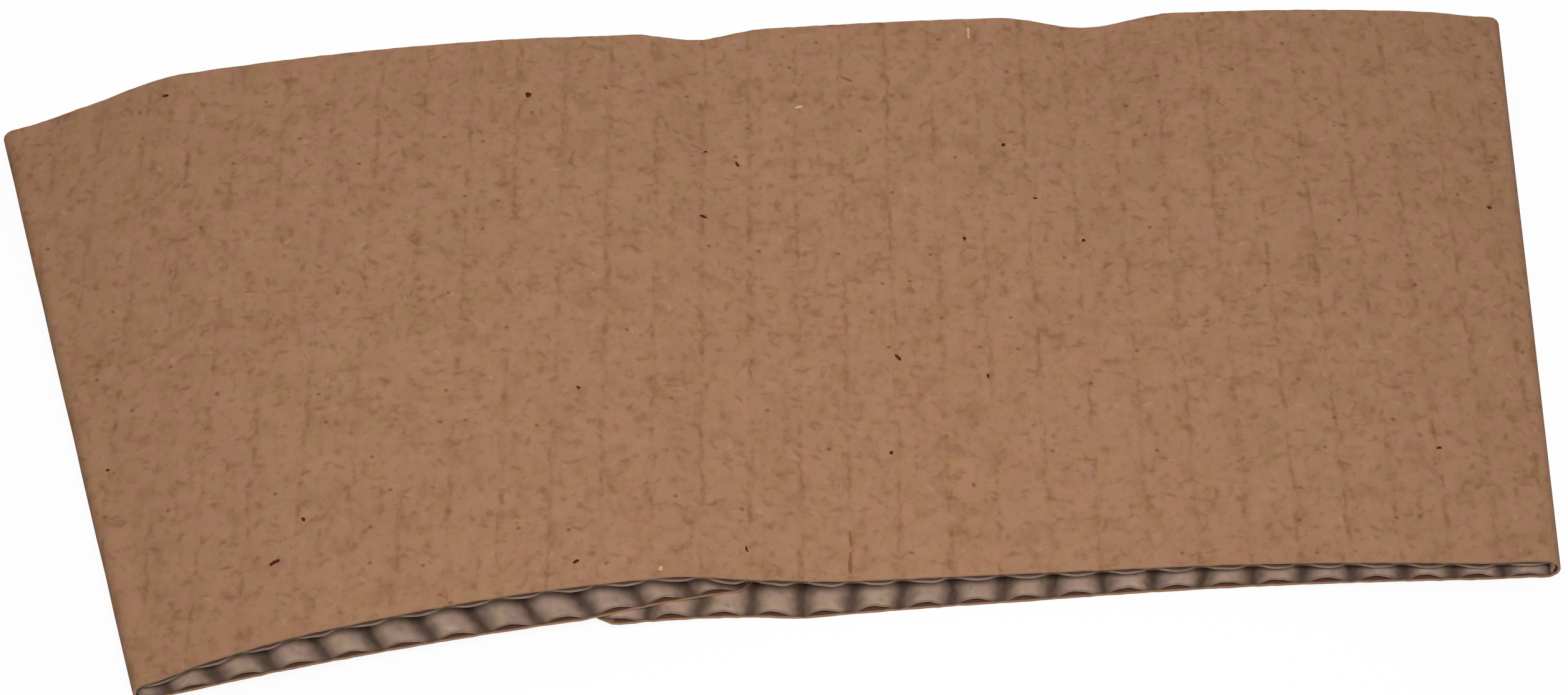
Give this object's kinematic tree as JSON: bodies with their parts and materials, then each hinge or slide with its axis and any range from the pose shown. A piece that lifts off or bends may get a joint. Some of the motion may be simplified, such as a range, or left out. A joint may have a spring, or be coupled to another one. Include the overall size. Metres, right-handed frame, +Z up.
{
  "type": "coffee cup sleeve",
  "caption": "Plain kraft cup sleeve of single-face corrugated board, folded flat with the flutes inside and a lapped seam at the rear; its mouth gapes a little.",
  "frame": {"origin": "on the table, under the centre of the sleeve's box, which rests on the rear panel's outer face", "axes": "+X along the flat sleeve from the left fold to the right fold, +Y towards its wide edge, +Z up out of the front panel"},
  "size_m": [0.133, 0.0684, 0.0075],
  "materials": {
    "kraft_board": "unprinted brown recycled kraft, matte, with short darker fibres and specks"
  },
  "bodies": {
    "root": {"sleeve": "kraft_board"}
  },
  "joints": []
}
